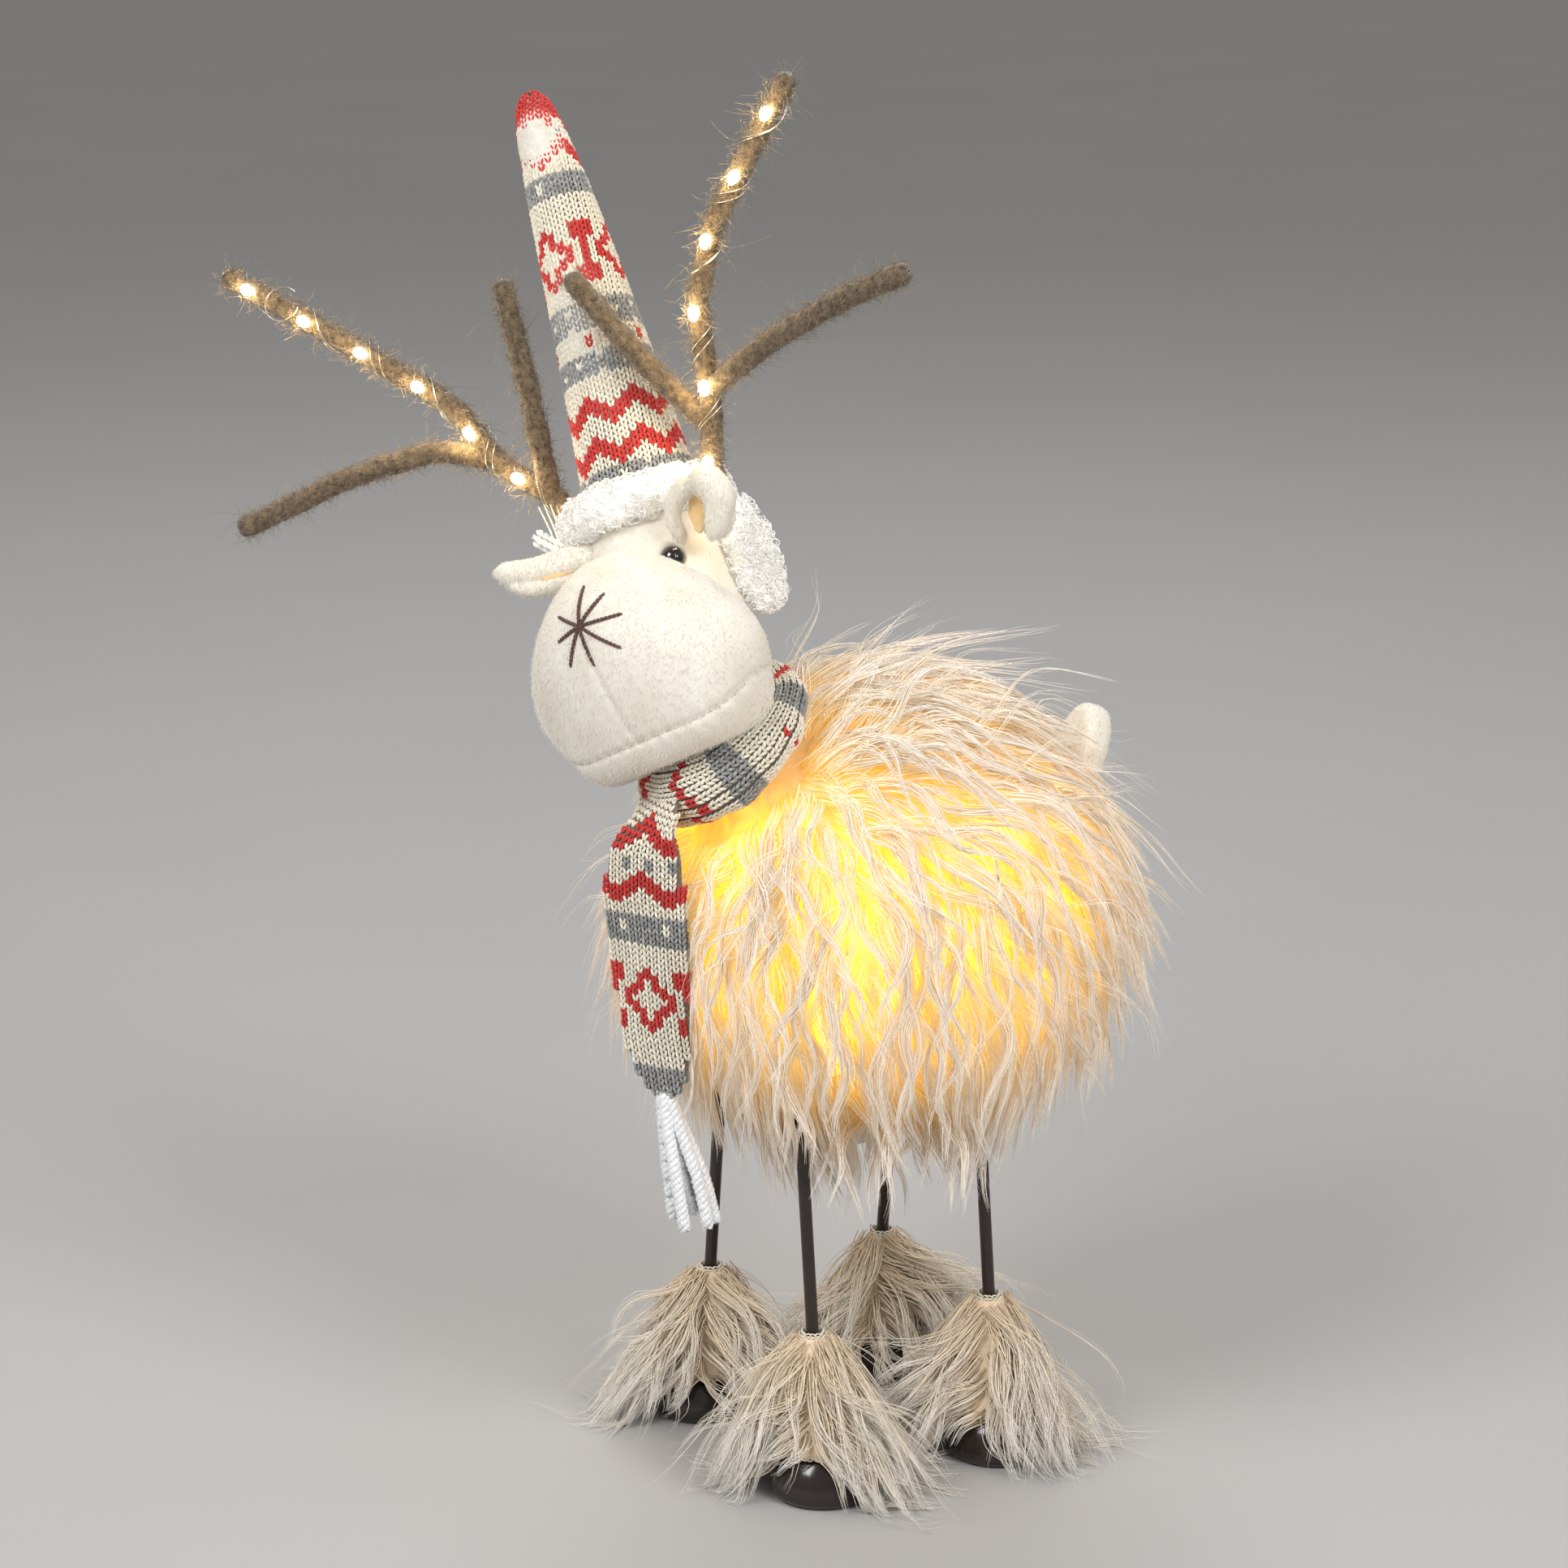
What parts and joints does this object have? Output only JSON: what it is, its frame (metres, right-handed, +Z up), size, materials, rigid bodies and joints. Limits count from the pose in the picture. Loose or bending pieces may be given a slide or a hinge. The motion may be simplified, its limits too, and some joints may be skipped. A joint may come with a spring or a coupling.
{
  "type": "light up yard reindeer",
  "caption": "Lit fur-bodied standing reindeer on rod legs, with a plush head that turns on its neck, wool-wrapped wire antlers with string lights, knitted cone hat and scarf.",
  "frame": {"origin": "on the floor, in the middle of the four hooves", "axes": "+Z up, -Y towards the nose of the body, +X to the animal's left"},
  "size_m": [0.3876, 0.3756, 0.6974],
  "materials": {
    "hoof_gloss": "high gloss moulded, dark brown",
    "leg_rod": "semi-gloss dark brown paint",
    "cuff_fur": "long beige fur fabric with paler tips",
    "trim_braid": "cream braid",
    "iron": "rough casting",
    "felt": "grey pressed felt",
    "box_plastic": "moulded white, fine texture",
    "switch_plastic": "black moulded",
    "cell_jacket": "printed shrink sleeve",
    "steel": "bright steel",
    "board": "green circuit board",
    "hoop_wire": "galvanised wire",
    "lining": "thin translucent wadding",
    "body_fur": "long curly pile, pinkish cream, lit from inside",
    "light_wire": "fine silver wire, clear lacquer",
    "bulb": "clear resin drop, lit warm white",
    "plush": "short-pile ivory plush",
    "nose_thread": "thick dark brown thread",
    "eye_bead": "polished black",
    "eye_washer": "moulded",
    "knit": "cream stocking stitch with red and grey bands",
    "yarn": "white chenille yarn",
    "sherpa": "white curled fleece",
    "wadding": "polyester stuffing",
    "antler_wool": "brown wool wrapped round wire"
  },
  "bodies": {
    "root": {"battery_box": "box_plastic", "battery_cells": "cell_jacket", "battery_contacts": "steel", "belly_plate": "box_plastic", "body_bulbs": "bulb", "body_hoops": "hoop_wire", "body_light_wire": "light_wire", "body_lining": "lining", "control_board": "board", "cuff_front_left": "cuff_fur", "cuff_front_right": "cuff_fur", "cuff_rear_left": "cuff_fur", "cuff_rear_right": "cuff_fur", "cuff_trims": "trim_braid", "fur_body": "body_fur", "hoof_front_left": "hoof_gloss", "hoof_front_right": "hoof_gloss", "hoof_pads": "felt", "hoof_rear_left": "hoof_gloss", "hoof_rear_right": "hoof_gloss", "hoof_weights": "iron", "leg_front_left": "leg_rod", "leg_front_right": "leg_rod", "leg_rear_left": "leg_rod", "leg_rear_right": "leg_rod", "neck_boss": "box_plastic", "neck_lead": "light_wire", "neck_post": "steel", "neck_washer": "felt", "push_nut": "steel", "scarf_collar": "knit", "scarf_tail": "knit", "scarf_tassel": "yarn", "tail": "plush"},
    "head": {"neck_socket": "box_plastic", "skull": "plush", "muzzle": "plush", "chin": "plush", "nose_stitches": "nose_thread", "eyes": "eye_bead", "eye_washers": "eye_washer", "ear_left": "plush", "ear_right": "plush", "hat": "knit", "hat_stuffing": "wadding", "hat_brim": "sherpa", "ear_flaps": "sherpa", "brim_tuft": "yarn", "antler_cores": "hoop_wire", "antler_light_wire": "light_wire", "antler_bulbs": "bulb", "head_lead": "light_wire", "antler_left_inner_tine": "antler_wool", "antler_left_outer_tine": "antler_wool", "antler_left_stem": "antler_wool", "antler_right_inner_tine": "antler_wool", "antler_right_outer_tine": "antler_wool", "antler_right_stem": "antler_wool"},
    "battery_cover": {"battery_cover": "box_plastic"},
    "switch_slider": {"switch_slider": "switch_plastic"}
  },
  "joints": [
    {"name": "head_turn", "type": "hinge", "parent": "root", "child": "head", "pos_m": [0, -0.0771, 0.3691], "axis": [0, -0.7071, 0.7071], "range_deg": [-89, 11]},
    {"name": "cover_slide", "type": "slide", "parent": "root", "child": "battery_cover", "axis": [0, 1, 0], "range_m": [0, 0.03]},
    {"name": "switch_slide", "type": "slide", "parent": "root", "child": "switch_slider", "axis": [1, 0, 0], "range_m": [-0.006, 0]}
  ]
}
